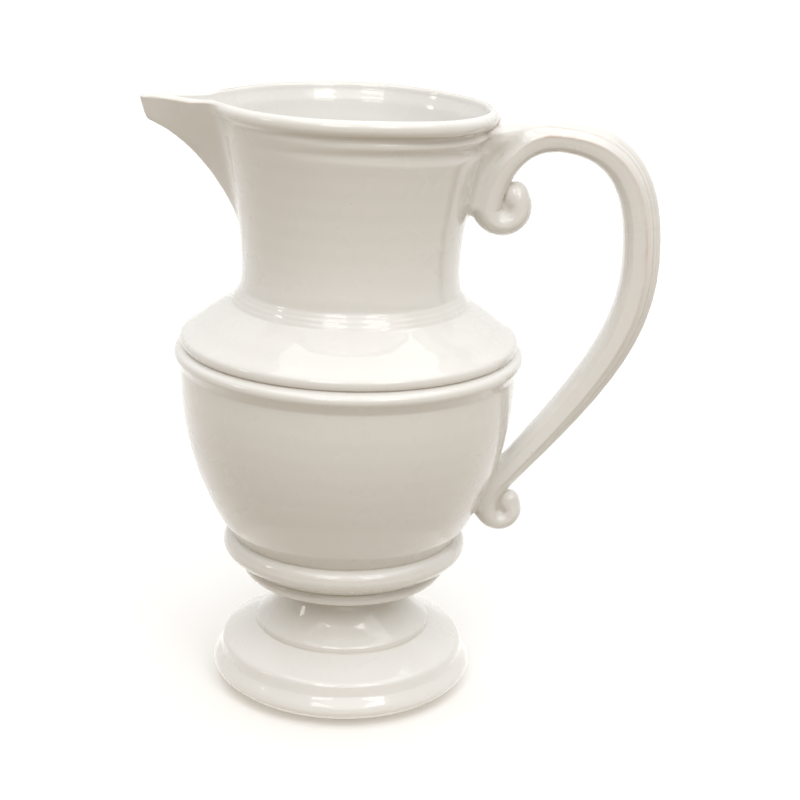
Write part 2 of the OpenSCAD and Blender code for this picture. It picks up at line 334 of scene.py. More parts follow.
def beak_r(z, inset=0.0, lower=0.0, trim=0.0):
    """Radius of the spout's skin for each height and column, 0 where there is none."""
    r = np.arange(30, spout_reach + 1, 0.25)
    got = np.zeros((len(z), len(phi)))
    for j in np.flatnonzero(np.abs(phi) < SPOUT_SIDE):
        x, y = r * math.cos(phi[j]), r * abs(math.sin(phi[j]))
        gap = beak_half(x[None, :] + inset, z[:, None] - lower) - trim - y[None, :]
        hit = len(r) - 1 - np.argmax(gap[:, ::-1] > 0, axis=1)
        any_hit = (gap > 0).any(axis=1)
        nxt = np.minimum(hit + 1, len(r) - 1)
        rows = np.arange(len(z))
        g0, g1 = gap[rows, hit], gap[rows, nxt]
        part = np.where(g1 < g0, g0 / np.maximum(g0 - g1, 1e-9), 0)
        got[:, j] = np.where(any_hit, r[hit] + 0.25 * np.clip(part, 0, 1), 0)
    return got


# Fading grooves under the lip: middle height, middle radius, size, and shift towards the spout
LIP_GROOVES = [(z_lip - 9.6, lip_r - 1.75, 2.3, 1.6), (z_lip - 17.6, lip_r - 1.3, 4.6, 1.6)]


def vessel_grid():
    """Points of the whole vessel's skin, rows along the section and columns round the axis."""
    r = np.repeat(base_r[:, None], len(phi), 1)
    z = np.repeat(base_z[:, None], len(phi), 1)
    a, top, b = MARK["out_neck"], MARK["apex"], MARK["in_neck"]
    out = slice(a, top + 1)
    for about, middle, size, shift in LIP_GROOVES:
        r[out] = smooth_min(r[out], groove_r(base_z[out], about, middle, size, shift), 0.9)
    cap = z_lip - 1.6
    fall = smooth_max(r[out], beak_r(np.minimum(base_z[out], cap)), 3.5) - r[out]
    back = slice(top, b + 1)
    hollow = beak_r(np.minimum(base_z[back], cap), inset=2.6, lower=4.0, trim=2.3)
    dip = smooth_max(r[back], hollow, 9.0) - r[back]
    # over the lip the outer shift turns into the inner one
    over = smooth_step(row_s, row_s[top] - 5.2, row_s[top] + 3.0)[:, None]
    full = np.zeros_like(r)
    full[out] = fall * spout_fade
    full[top + 1 : b + 1] = (dip * spout_fade)[1:]
    last_out = np.flatnonzero(base_z[:top] <= cap)[-1]
    first_in = top + np.flatnonzero(base_z[top:] <= cap)[0]
    out_cap, in_cap = full[last_out], full[first_in]
    zone = slice(last_out, first_in + 1)
    full[zone] = mix(out_cap[None, :], in_cap[None, :], over[zone])
    r = r + full
    # the spout's rim sits a little below the lip
    lowered = 0.9 * smooth_step(out_cap, 2, 12)[None, :] * smooth_step(96 - r, 0, 20)
    z -= lowered * smooth_step(z, z_lip - 14, cap)
    return np.stack([-r * np.cos(phi), -r * np.sin(phi), z], axis=-1)


# ---------------------------------------------------------------- hand-made unevenness


def by_hand(p):
    """The small unevenness of a thrown and fired pot, as a smooth shift of any points."""
    x, y, z = p[..., 0], p[..., 1], p[..., 2]
    r = np.hypot(x, y) + 1e-9
    th = np.arctan2(y, x)
    oval = -0.14 * (1 + np.sin(2 * th + 0.9 + z / 70)) * np.clip(r / 50, 0, 1)
    rings = 0.035 * (np.sin(z * 0.62 + 0.8 * np.sin(th + 1)) - 1) * smooth_step(r, 25, 40)
    scale = 1 + (oval + rings) / r
    high = smooth_step(z, 225, z_lip - 5)
    tilt = -1.9 * smooth_step(x, 5, 70) * (1 - smooth_step(x, 69, 85))
    back = -0.7 * smooth_step(y, 10, 68)
    return np.stack([x * scale, y * scale, z + high * (tilt + back)], axis=-1)


# ---------------------------------------------------------------- meshes


def unit(v):
    return v / np.maximum(np.linalg.norm(v, axis=-1, keepdims=True), 1e-12)


def bends(co, no, links):
    """Sharpest outward and inward bend at each point, per mm, from its links to its neighbours."""
    i, j = links[:, 0], links[:, 1]
    d = co[j] - co[i]
    k = ((no[j] - no[i]) * d).sum(1) / np.maximum((d * d).sum(1), 1e-4)
    out, into = np.zeros(len(co)), np.zeros(len(co))
    for ends in (i, j):
        np.maximum.at(out, ends, k)
        np.maximum.at(into, ends, -k)
    count = np.bincount(links.ravel(), minlength=len(co)) + 1
    for _ in range(3):
        for value in (out, into):
            total = value.copy()
            np.add.at(total, i, value[j])
            np.add.at(total, j, value[i])
            value[:] = total / count
    return out, into


# How strongly the glaze thins on the sharp edges of each node
THIN = {"handle_strap": 0.8, "upper_scroll": 0.8, "lower_scroll": 0.8, "spout": 0.45}
THIN_ELSEWHERE = 0.7


def make_piece(name, node, co, faces, normals, marks=None):
    """A mesh object from points in mm, with smooth glaze normals, its thin places marked, and its hollow
    places marked for painted shade.
    """
    mesh = bpy.data.meshes.new(name)
    mesh.from_pydata((co * MM).tolist(), [], faces)
    mesh.validate(clean_customdata=False)
    mesh.polygons.foreach_set("use_smooth", np.ones(len(mesh.polygons), bool))
    if marks is None:
        links = np.zeros(len(mesh.edges) * 2, np.int32)
        mesh.edges.foreach_get("vertices", links)
        marks = bends(co, normals, links.reshape(-1, 2))
    strength = THIN.get(node, THIN_ELSEWHERE)
    # the inward bend marks hollows that get painted shade in grooves; the outward bend marks edges where the
    # glaze thins
    for key, value in (("thin", marks[0] * strength), ("groove_shade", marks[1])):
        attribute = mesh.attributes.new(key, "FLOAT", "POINT")
        attribute.data.foreach_set("value", value.astype(np.float32))
    mesh.normals_split_custom_set_from_vertices(normals.tolist())
    obj = bpy.data.objects.new(name, mesh)
    bpy.context.scene.collection.objects.link(obj)
    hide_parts(node)
    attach(obj, "root")
    return obj


def vessel_pieces():
    """Foot, bowl, shoulder, neck and spout, cut from one grid so that the glaze runs over their joints."""
    grid = by_hand(GRID_POINTS)
    rows, cols = grid.shape[:2]
    wide = np.concatenate([grid[:, -2:-1], grid, grid[:, 1:2]], axis=1)
    angle = np.r_[phi[-2] - 2 * math.pi, phi, phi[1] + 2 * math.pi]
    along = np.gradient(wide, row_s, axis=0)[:, 1:-1]
    across = np.gradient(wide, angle, axis=1)[:, 1:-1]
    normal = unit(np.cross(across, along))
    normal[0], normal[-1] = (0, 0, -1), (0, 0, 1)
    # the first and the last column are the same line behind the handle
    grid[:, -1], normal[:, -1] = grid[:, 0], normal[:, 0]
    ids = np.arange(rows * cols).reshape(rows, cols)
    ids[:, -1] = ids[:, 0]
    ids[0], ids[-1] = ids[0, 0], ids[-1, 0]
    in_spout = np.abs(0.5 * (phi[1:] + phi[:-1])) < SPOUT_SIDE

    def strip(a, b, keep):
        """Quads between rows a and b, in the columns to keep."""
        return [[ids[a, c], ids[a, c + 1], ids[b, c + 1], ids[b, c]] for c in np.flatnonzero(keep)]

    def skin(first, last, keep):
        """Quads between each two neighbouring rows from first to last."""
        return [f for a in range(first, last) for f in strip(a, a + 1, keep)]

    every = np.ones(cols - 1, bool)
    m = MARK
    sides = np.flatnonzero(np.diff(np.r_[False, in_spout, False].astype(int)))
    side_rows = np.arange(m["out_spout"], m["in_spout"] + 1)
    cheeks = [[ids[a, c] for a in side_rows] for c in (sides[0], sides[1])]
    spout_bed = strip(m["in_spout"], m["out_spout"], in_spout)
    plans = {
        "foot": skin(m["under_waist"], m["out_waist"], every)
        + strip(m["out_waist"], m["under_waist"], every),
        "bowl": skin(0, m["under_waist"], every)
        + strip(m["under_waist"], m["out_waist"], every)
        + skin(m["out_waist"], m["out_girth"], every)
        + strip(m["out_girth"], m["in_girth"], every)
        + skin(m["in_girth"], m["axis_floor"], every),
        "shoulder": skin(m["out_girth"], m["out_neck"], every)
        + strip(m["out_neck"], m["in_neck"], every)
        + skin(m["in_neck"], m["in_girth"], every)
        + strip(m["in_girth"], m["out_girth"], every),
        "neck": skin(m["out_neck"], m["out_spout"], every)
        + skin(m["out_spout"], m["in_spout"], ~in_spout)
        + skin(m["in_spout"], m["in_neck"], every)
        + strip(m["in_neck"], m["out_neck"], every)
        + [f[::-1] for f in spout_bed]
        + [cheeks[0], cheeks[1][::-1]],
        "spout": skin(m["out_spout"], m["in_spout"], in_spout)
        + spout_bed
        + [cheeks[0][::-1], cheeks[1]],
    }
    links = np.r_[
        np.c_[ids[:-1].ravel(), ids[1:].ravel()], np.c_[ids[:, :-1].ravel(), ids[:, 1:].ravel()]
    ]
    co, no = grid.reshape(-1, 3), normal.reshape(-1, 3)
    marks = bends(co, no, links[links[:, 0] != links[:, 1]])
    for node, faces in plans.items():
        used, faces = compact(faces)
        PIECES[node] = make_piece(
            f"{node}_glazed", node, co[used], faces, no[used], [mark[used] for mark in marks]
        )


def compact(faces):
    """The points that faces use, and the faces numbered by them, with doubled corners dropped."""
    used = np.unique(np.concatenate([np.asarray(f) for f in faces]))
    number = {int(v): i for i, v in enumerate(used)}
    clean = []
    for f in faces:
        ring = [number[int(v)] for v in f]
        ring = [v for k, v in enumerate(ring) if v != ring[k - 1]]
        if len(set(ring)) > 2:
            clean.append(ring)
    return used, clean


# ---------------------------------------------------------------- handle as a field


def moulded_outline():
    """One half of the strap's section, in parts of its half width and of its thickness."""
    inner_face = [[0, -0.5], [0.42, -0.49], [0.74, -0.43], [0.93, -0.3]]
    side = [[0.98, -0.12], [1.0, -0.02], [1.03, 0.04], [1.0, 0.085], [0.93, 0.11]]
    bevel = [[0.88, 0.155], [0.76, 0.215], [0.68, 0.246]]
    grooves = [
        [0.64, 0.236], [0.59, 0.25], [0.55, 0.296], [0.49, 0.326], [0.45, 0.328], [0.4, 0.342],
    ]
    crown = [[0.36, 0.38], [0.25, 0.44], [0.12, 0.49], [0, 0.5]]
    return np.array(inner_face + side + bevel + grooves + crown)


# Width and thickness at which the section tables are worked out
REF_W, REF_T = 20.0, 17.0
CELL = 0.1
TABLE_A = np.arange(0, 22, CELL)
TABLE_B = np.arange(-20, 20, CELL)


def outline_table(points, sigma):
    """Signed distance to a closed section outline, on a grid over one half of it."""
    half_line = soften(resample(points * [REF_W / 2, REF_T], FINE / 2), sigma, FINE / 2)
    half_line[[0, -1], 0] = 0
    line = np.r_[half_line, half_line[-2:0:-1] * [-1, 1]]
    a, b = np.meshgrid(TABLE_A, TABLE_B, indexing="ij")
    flat = np.c_[a.ravel(), b.ravel()]
    nxt = np.roll(line, -1, axis=0)
    best = np.full(len(flat), 1e9)
    turns = np.zeros(len(flat), bool)
    for p, q in zip(line, nxt):
        best = np.minimum(best, ((flat - p) ** 2).sum(1))
        spans = (p[1] > flat[:, 1]) != (q[1] > flat[:, 1])
        if spans.any():
            rise = q[1] - p[1] if q[1] != p[1] else 1e-9
            x = p[0] + (flat[:, 1] - p[1]) * (q[0] - p[0]) / rise
            turns ^= spans & (flat[:, 0] < x)
    distance = np.sqrt(best) * np.where(turns, -1, 1)
    return distance.reshape(a.shape)


def look_up(table, a, b):
    """Table value at places a across and b through the section, and further out beyond the table."""
    fa, fb = a / CELL, (b - TABLE_B[0]) / CELL
    ca, cb = np.clip(fa, 0, table.shape[0] - 1.001), np.clip(fb, 0, table.shape[1] - 1.001)
    beyond = np.hypot(fa - ca, fb - cb) * CELL
    i, j = ca.astype(int), cb.astype(int)
    u, v = ca - i, cb - j
    low = table[i, j] * (1 - v) + table[i, j + 1] * v
    high = table[i + 1, j] * (1 - v) + table[i + 1, j + 1] * v
    return low * (1 - u) + high * u + beyond


angles = np.radians(np.linspace(-90, 90, 90))
PLAIN = outline_table(np.c_[np.cos(angles), np.sin(angles) / 2], 0.2)
MOULDED = outline_table(moulded_outline(), 0.3)


def bezier(b, t):
    """Points at t on the cubic curve with control points b."""
    b = np.array(b, float)
    t = np.asarray(t)[:, None]
    return b[0] * (1 - t) ** 3 + b[1] * 3 * t * (1 - t) ** 2 + b[2] * 3 * t * t * (1 - t) + b[3] * t**3


class Sweep:
    """A section carried along a line in the mirror plane, thick, wide and moulded by place."""

    COARSE = 16
    CHUNK = 20000

    def __init__(self, line, thick, wide, mould):
        self.line = line
        self.tangent = unit(np.gradient(line, axis=0))
        self.facts = np.c_[thick, wide, mould]

    def locate(self, x, z):
        """Thickness, width, moulding, offset across the line and overshoot past its ends, by point."""
        q = np.c_[x, z]
        near = np.zeros(len(q), int)
        for k in range(0, len(q), self.CHUNK):
            part = q[k : k + self.CHUNK]
            d = ((part[:, None] - self.line[None, :: self.COARSE]) ** 2).sum(-1)
            near[k : k + self.CHUNK] = d.argmin(1) * self.COARSE
        span = np.arange(-self.COARSE, self.COARSE + 1)
        fine = np.clip(near[:, None] + span, 0, len(self.line) - 1)
        d = ((q[:, None] - self.line[fine]) ** 2).sum(-1)
        k = fine[np.arange(len(q)), d.argmin(1)]
        step = np.linalg.norm(self.line[1] - self.line[0])
        ahead = ((q - self.line[k]) * self.tangent[k]).sum(1)
        f = np.clip(k + ahead / step, 0, len(self.line) - 1.001)
        i = f.astype(int)
        u = (f - i)[:, None]
        at = self.line[i] * (1 - u) + self.line[i + 1] * u
        tangent = unit(self.tangent[i] * (1 - u) + self.tangent[i + 1] * u)
        facts = self.facts[i] * (1 - u) + self.facts[i + 1] * u
        rest_of = q - at
        across = rest_of[:, 1] * tangent[:, 0] - rest_of[:, 0] * tangent[:, 1]
        past = np.abs((rest_of * tangent).sum(1))
        return (*facts.T, across, past)


def section_distance(spot, y):
    """Distance outside a sweep's skin, for places that it has located, at y from the mirror plane."""
    thick, wide, mould, across, past = spot
    n = np.sign(across) * np.hypot(across, past)
    a = np.abs(y) * REF_W / wide
    b = n * REF_T / thick
    d = look_up(PLAIN, a, b) * (1 - mould) + look_up(MOULDED, a, b) * mould
    return d * np.minimum(wide / REF_W, thick / REF_T)


strap_top = [
    [62, z_lip - 17.6], [92, z_lip - 12.7], [handle_reach - 3, z_lip - 2.6], [handle_reach, z_lip - 66.5],
]
strap_low = [
    [handle_reach, z_lip - 66.5], [handle_reach + 2.7, z_lip - 107],
    [handle_reach - 14.5, z_waist + 112], [84.2, z_waist + 61.2],
]
strap_w = 21.0
strap_t = 18.2
root_t, arch_t, low_t = 19.5, 15.4, 14.2
u_arch = 0.36


def even(line, facts, step=0.2):
    """Points at an even spacing along a line, with its facts carried along."""
    along = np.r_[0, np.cumsum(np.hypot(*np.diff(line, axis=0).T))]
    at = np.linspace(0, along[-1], int(along[-1] / step) + 1)
    pick = [np.interp(at, along, col) for col in (*line.T, *facts)]
    return np.c_[pick[0], pick[1]], pick[2:]


def strap_part(first, last, count):
    """Line, thickness, width and moulding of the strap between two places on its curves."""
    u = np.linspace(first, last, count)
    upper, lower = bezier(strap_top, np.minimum(u, 1)), bezier(strap_low, np.maximum(u - 1, 0))
    line = np.where((u < 1)[:, None], upper, lower)
    to_arch = mix(root_t, arch_t, np.clip(u / u_arch, 0, 1) ** 1.6)
    to_back = mix(arch_t, strap_t, np.sin(np.pi / 2 * np.clip((u - u_arch) / (1 - u_arch), 0, 1)))
    to_foot = mix(strap_t, low_t, np.clip(u - 1, 0, 1) ** 2.8)
    thick = np.where(u < u_arch, to_arch, np.where(u < 1, to_back, to_foot))
    wide = mix(strap_w, strap_w - 3.5, u / 2)
    mould = np.where(u > 1.8, mix(1, 0.7, (u - 1.8) / 0.2), 1)
    return line, thick, wide, mould


def curl_part(leg, start, turn, thick, wide):
    """Leg, then a spiral about a middle: turn is its middle, first and last radius and last angle."""
    f = np.linspace(0, 1, 160)
    settle = 1 - (1 - f) ** 3
    a = np.radians(mix(180, turn[4], f))
    r = mix(turn[2], turn[3], settle)
    spiral = np.c_[turn[0] + r * np.cos(a), turn[1] + r * np.sin(a)]
    line = np.r_[bezier(leg, f[:-1]), spiral]
    t = np.r_[mix(start[0], thick[0], f[:-1] ** 0.7), mix(thick[0], thick[1], settle)]
    w = np.r_[mix(start[1], wide[0], f[:-1]), mix(wide[0], wide[1], f)]
    m = np.r_[start[2] * (1 - 0.8 * f[:-1]), start[2] * 0.2 * (1 - f)]
    return line, t, w, m


# Where the upper scroll's leg leaves the arch
u_leg = 0.3
upper_leg = [[0, 0], [78.5, z_lip - 16.6], [66.6, z_lip - 29], [64.6, z_lip - 49.6]]
upper_leg[0] = list(bezier(strap_top, [u_leg])[0])
lower_leg = [[84.2, z_waist + 61.2], [79.6, z_waist + 55], [72.5, z_waist + 48], [72.5, z_waist + 38.2]]
upper_turn = [73.4, z_lip - 49.6, 8.8, 7.2, 395]
lower_turn = [80.3, z_waist + 38.2, 7.8, 5.3, 380]


def handle_sweep():
    """The whole handle as one line: upper curl, leg, arch, strap, lower leg and lower curl."""
    strap = strap_part(u_leg, 2, 1000)
    start = [strap[1][0], strap[2][0], strap[3][0]]
    end = [strap[1][-1], strap[2][-1], strap[3][-1]]
    upper = curl_part(upper_leg, start, upper_turn, [15, 12.2], [19, 15])
    lower = curl_part(lower_leg, end, lower_turn, [12.6, 9.8], [17, 12])
    joined = [np.concatenate([u[:0:-1], s, w[1:]]) for u, s, w in zip(upper, strap, lower)]
    line, facts = even(joined[0], joined[1:])
    return Sweep(line, *facts)


def plain_sweep(line, thick, wide):
    """A plain oval bar along a curve, with its first and last thickness and width."""
    f = np.linspace(0, 1, 200)
    line, facts = even(bezier(line, f), (mix(*thick, f**1.3), mix(*wide, f**1.3), 0 * f))
    return Sweep(line, *facts)


HANDLE = handle_sweep()
# the block that ties the arch to the lip, and the saddle that fills in between the leg and the neck
ROOT = plain_sweep(
    [[58, z_lip - 13.4], [70, z_lip - 13], [80, z_lip - 13.4], [94, z_lip - 14]], (18.5, 12), (20, 12)
)
SADDLE = plain_sweep(
    [[62.5, z_lip - 15], [61, z_lip - 25], [58.4, z_lip - 36], [57.6, z_lip - 47]], (14, 7.5), (18, 13)
)
# balls that end the curls: middle x and z, and radius
# webs that close the curls' eyes: middle x and z, radius, and half depth
BALLS = [(78.0, z_lip - 43.2, 6.6), (83.8, z_waist + 42.6, 5.7)]
EYES = [(upper_turn[0], upper_turn[1], 4.0, 3.6), (lower_turn[0], lower_turn[1], 3.4, 3.0)]

FILLET = 5.0
LIP_FILLET = 1.4
# How far the fillet's edge and the hidden end of the handle lie under the wall's skin
SINK = 0.03
SOCKET = 2.6

GRID_POINTS = vessel_grid()
handle_rows = slice(MARK["out_waist"], MARK["apex"] + 1)
handle_z = np.arange(z_waist + 20, z_lip, 0.25)
handle_wall = np.interp(handle_z, GRID_POINTS[handle_rows, -1, 2], GRID_POINTS[handle_rows, -1, 0])


def wall_side(x, y, z):
    """Distance outside the vessel's wall on the handle's side."""
    r = np.hypot(x, y)
    wall_r = np.interp(z, handle_z, handle_wall)
    slope = np.interp(z + 0.5, handle_z, handle_wall) - np.interp(z - 0.5, handle_z, handle_wall)
    return (r - wall_r) / np.sqrt(1 + slope**2)


class HandleField:
    """Signed distance, near enough, to the handle where it stands out of the vessel."""

    def __init__(self, x, z):
        self.x, self.z = x, z
        self.spots = [s.locate(x, z) for s in (HANDLE, ROOT, SADDLE)]

    def at(self, y):
        """y goes with the points one by one, or is a row that every point is paired with."""
        grid = y.ndim == 2
        x, z = (self.x[:, None], self.z[:, None]) if grid else (self.x, self.z)
        parts = [
            section_distance([c[:, None] for c in s] if grid else s, y) for s in self.spots
        ]
        d = smooth_min(smooth_min(parts[0], parts[1], 4.0), parts[2], 5.0)
        for bx, bz, br in BALLS:
            d = smooth_min(d, np.sqrt((x - bx) ** 2 + y**2 + (z - bz) ** 2) - br, 1.2)
        for ex, ez, er, deep in EYES:
            web = np.maximum(np.hypot(x - ex, z - ez) - er, np.abs(y) - deep)
            d = smooth_min(d, web, 1.5)
        v = wall_side(x, y, z)
        # a wide fillet on the wall, and a tight one against the bead of the lip
        k = mix(FILLET, LIP_FILLET, smooth_step(z, z_lip - 20, z_lip - 9))
        return np.maximum(np.maximum(smooth_min(d, v + SINK, k), -(v + SOCKET)), d - 0.97 * k)


def slope_of(co, h=0.2):
    """Value and slope of the handle's field at each point."""
    x, y, z = co.T
    middle = HandleField(x, z)
    dx = HandleField(x + h, z).at(y) - HandleField(x - h, z).at(y)
    dz = HandleField(x, z + h).at(y) - HandleField(x, z - h).at(y)
    dy = middle.at(y + h) - middle.at(y - h)
    return middle.at(y), np.c_[dx, dy, dz] / (2 * h)


def dual_mesh(values, low, cell):
    """Points and quads of the zero surface of a field on a grid, one point for each cell that it crosses."""
    inside = values < 0
    n = np.array(values.shape) - 1
    total = np.zeros((*n, 3))
    count = np.zeros(n)
    quads = []
    corner = [slice(0, -1), slice(1, None)]
    index = -np.ones(n, int)
    crossings = []
    for axis in range(3):
        others = [k for k in range(3) if k != axis]
        first = [slice(None)] * 3
        second = [slice(None)] * 3
        first[axis], second[axis] = slice(0, -1), slice(1, None)
        a, b = values[tuple(first)], values[tuple(second)]
        cross = (a < 0) != (b < 0)
        part = np.where(cross, a / np.where(a == b, 1, a - b), 0)
        crossings.append((axis, cross, a < 0))
        for s0 in range(2):
            for s1 in range(2):
                view = [slice(None)] * 3
                view[others[0]], view[others[1]] = corner[s0], corner[s1]
                hit = cross[tuple(view)]
                count += hit
                total[..., axis] += np.where(hit, part[tuple(view)], 0)
                total[..., others[0]] += hit * s0
                total[..., others[1]] += hit * s1
    active = count > 0
    index[active] = np.arange(active.sum())
    where = np.argwhere(active)
    points = low + cell * (where + total[active] / count[active][:, None])
    for axis, cross, starts_in in crossings:
        others = [k for k in range(3) if k != axis]
        at = np.argwhere(cross)
        ok = (at[:, others[0]] > 0) & (at[:, others[1]] > 0)
        ok &= (at[:, others[0]] < n[others[0]]) & (at[:, others[1]] < n[others[1]])
        at = at[ok]
        flip = starts_in[tuple(at.T)] ^ (axis == 1)
        ring = []
        for s0, s1 in ((1, 1), (0, 1), (0, 0), (1, 0)):
            spot = at.copy()
            spot[:, others[0]] -= s0
            spot[:, others[1]] -= s1
            ring.append(index[tuple(spot.T)])
        ring = np.array(ring).T
        quads.append(np.where(flip[:, None], ring, ring[:, ::-1]))
    return points, np.concatenate(quads)


GRID = 0.6
JOINTS = {"upper": (strap_top, 0.24), "lower": (strap_low, 0.95)}


CUT_REACH = 17
SPARE = 3.5


def joint_plane(curve, t):
    """Point and direction of the plane that parts the strap from a scroll at t on a curve."""
    q = bezier(curve, [t])[0]
    d = unit((bezier(curve, [t + 0.01]) - bezier(curve, [t - 0.01]))[0])
    return Vector((q[0], 0, q[1])), Vector((d[0], 0, d[1]))


def handle_pieces():
    """Strap and scrolls from one surface, parted at the joints of the frame."""
    low = np.array([49.0, -strap_w / 2 - SPARE, z_waist + 22])
    high = np.array([strap_out + 1.2, strap_w / 2 + SPARE, z_lip + 1.5])
    x, y, z = (np.arange(low[k], high[k] + GRID, GRID) for k in range(3))
    px, pz = np.meshgrid(x, z, indexing="ij")
    values = HandleField(px.ravel(), pz.ravel()).at(y[None, :])
    values = values.reshape(len(x), len(z), len(y)).transpose(0, 2, 1)
    points, quads = dual_mesh(values, low, GRID)
    for _ in range(2):
        value, slope = slope_of(points)
        size = np.maximum((slope**2).sum(1), 0.05)
        move = np.clip(value / size, -0.5 * GRID, 0.5 * GRID)
        points = points - slope * move[:, None]

    bm = bmesh.new()
    made = [bm.verts.new(p) for p in points]
    for q in quads:
        bm.faces.new([made[i] for i in q])
    cuts = []
    for curve, t in JOINTS.values():
        middle, along = joint_plane(curve, t)
        near = [f for f in bm.faces if (f.calc_center_median() - middle).length < CUT_REACH]
        geom = set(near)
        geom.update(e for f in near for e in f.edges)
        geom.update(v for f in near for v in f.verts)
        cut = bmesh.ops.bisect_plane(bm, geom=list(geom), dist=1e-5, plane_co=middle, plane_no=along)
        cuts += [e for e in cut["geom_cut"] if isinstance(e, bmesh.types.BMEdge)]
    bmesh.ops.split_edges(bm, edges=cuts)
    islands = sorted(part_islands(bm), key=len)[-3:]
    islands.sort(key=lambda verts: -sum(v.co.z for v in verts) / len(verts))
    # the strap reaches between the two scrolls, so it is the middle one by height
    for node, verts in zip(("upper_scroll", "handle_strap", "lower_scroll"), islands):
        faces = {f for v in verts for f in v.link_faces}
        number = {v: i for i, v in enumerate(verts)}
        rings = [[number[v] for v in f.verts] for f in faces]
        rings += caps(verts, number)
        co = np.array([v.co for v in verts])
        normal = unit(slope_of(co)[1])
        moved = by_hand(co)
        step = 0.3
        tipped = by_hand(co + normal * step)
        side = unit(np.cross(normal, [0.3, 0.5, 0.8]))
        other = np.cross(normal, side)
        a, b = by_hand(co + side * step) - moved, by_hand(co + other * step) - moved
        turned = unit(np.cross(a, b))
        turned *= np.sign((turned * (tipped - moved)).sum(1, keepdims=True))
        PIECES[node] = make_piece(f"{node}_glazed", node, moved, rings, turned)
    bm.free()


def part_islands(bm):
    """Points of a mesh in groups that its edges join."""
    seen, islands = set(), []
    for start in bm.verts:
        if start in seen:
            continue
        seen.add(start)
        group, stack = [], [start]
        while stack:
            v = stack.pop()
            group.append(v)
            for e in v.link_edges:
                w = e.other_vert(v)
                if w not in seen:
                    seen.add(w)
                    stack.append(w)
        islands.append(group)
    return islands


def caps(verts, number):
    """One face over each open end of an island."""
    follow = {}
    for v in verts:
        for loop in v.link_loops:
            if len(loop.edge.link_faces) == 1:
                follow[loop.link_loop_next.vert] = loop.vert
    faces = []
    while follow:
        start, v = next(iter(follow.items()))
        ring = [start]
        del follow[start]
        while v in follow:
            ring.append(v)
            v = follow.pop(v)
        faces.append([number[p] for p in ring])
    return faces


# ---------------------------------------------------------------- glaze


CREAM, PALE = (0.80, 0.795, 0.77, 1), (0.815, 0.812, 0.795, 1)
WARM = (0.80, 0.78, 0.745, 1)
BARE_CLAY = (0.66, 0.44, 0.32, 1)
# colour of the painted shade that darkens grooves and creases
PAINTED_GROOVE_SHADE = (0.55, 0.47, 0.36, 1)
SPECK = (0.35, 0.31, 0.27, 1)


